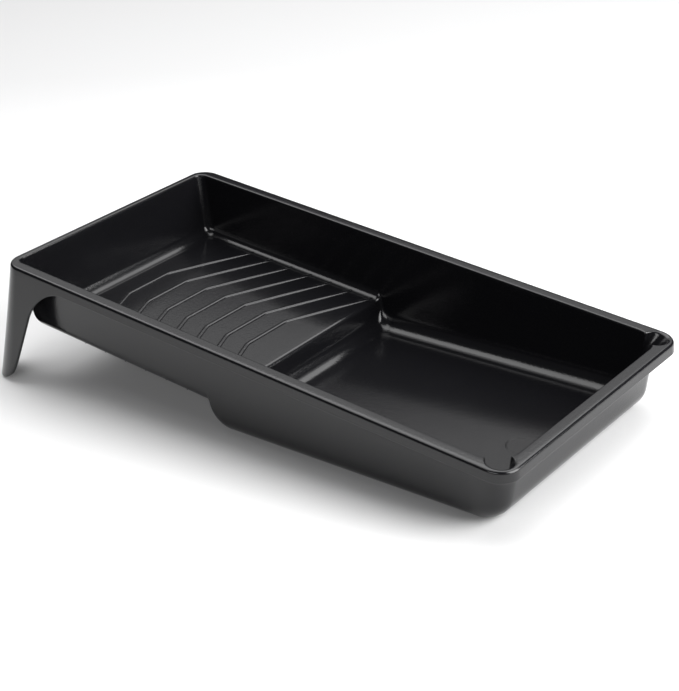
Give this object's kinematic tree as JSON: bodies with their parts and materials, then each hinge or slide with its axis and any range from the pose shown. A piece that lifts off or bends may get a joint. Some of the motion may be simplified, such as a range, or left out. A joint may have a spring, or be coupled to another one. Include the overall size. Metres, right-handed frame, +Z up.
{
  "type": "paint roller tray",
  "caption": "Shallow plastic tray with a deep well, a ribbed ramp for rolling off paint, a flat rim, two flared legs and pouring corners.",
  "frame": {"origin": "middle of the plan's bounding box, on the surface that the tray stands on", "axes": "+X along the tray's length towards the deep, pouring end, +Y across it, +Z up"},
  "size_m": [0.3131, 0.1672, 0.063],
  "materials": {
    "black_plastic": "semi-gloss black injection-moulded polypropylene"
  },
  "bodies": {
    "root": {"rim_front": "black_plastic", "rim_back": "black_plastic", "rim_shallow_end": "black_plastic", "rim_deep_end": "black_plastic", "leg_front": "black_plastic", "leg_back": "black_plastic", "pour_spout_front": "black_plastic", "pour_spout_back": "black_plastic", "wall_front": "black_plastic", "wall_back": "black_plastic", "wall_shallow_end": "black_plastic", "wall_deep_end": "black_plastic", "ramp": "black_plastic", "step": "black_plastic", "well_floor": "black_plastic", "rib_1": "black_plastic", "rib_2": "black_plastic", "rib_3": "black_plastic", "rib_4": "black_plastic", "rib_5": "black_plastic", "rib_6": "black_plastic", "rib_7": "black_plastic"}
  },
  "joints": []
}
